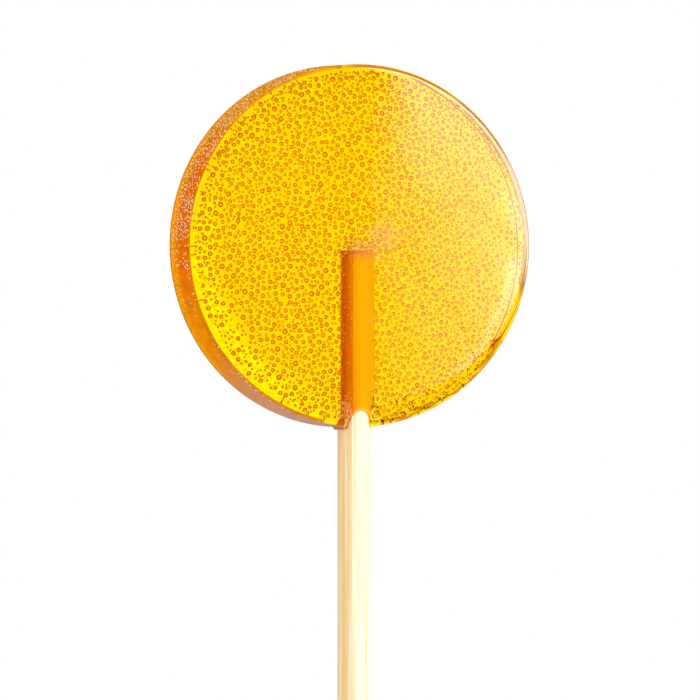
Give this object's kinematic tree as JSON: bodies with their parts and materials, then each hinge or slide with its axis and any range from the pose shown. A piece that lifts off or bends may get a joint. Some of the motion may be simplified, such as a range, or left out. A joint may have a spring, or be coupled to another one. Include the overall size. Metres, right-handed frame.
{
  "type": "honey lollipop",
  "caption": "Flat round boiled-sugar lollipop in clear honey yellow, set on a plain round wooden stick, lying on its flat back.",
  "frame": {"origin": "middle of the candy disc's flat back, which lies on the floor", "axes": "+Z out of the disc's front face, +Y along the stick from its lower end towards the top of the candy, +X to the right as seen from the front"},
  "size_m": [0.0444, 0.1377, 0.0075],
  "materials": {
    "candy": "clear honey-yellow boiled sugar, glossy, full of fine bubbles",
    "stick": "pale bare wood, smooth, fine straight grain"
  },
  "bodies": {
    "root": {"candy": "candy", "stick": "stick"}
  },
  "joints": []
}
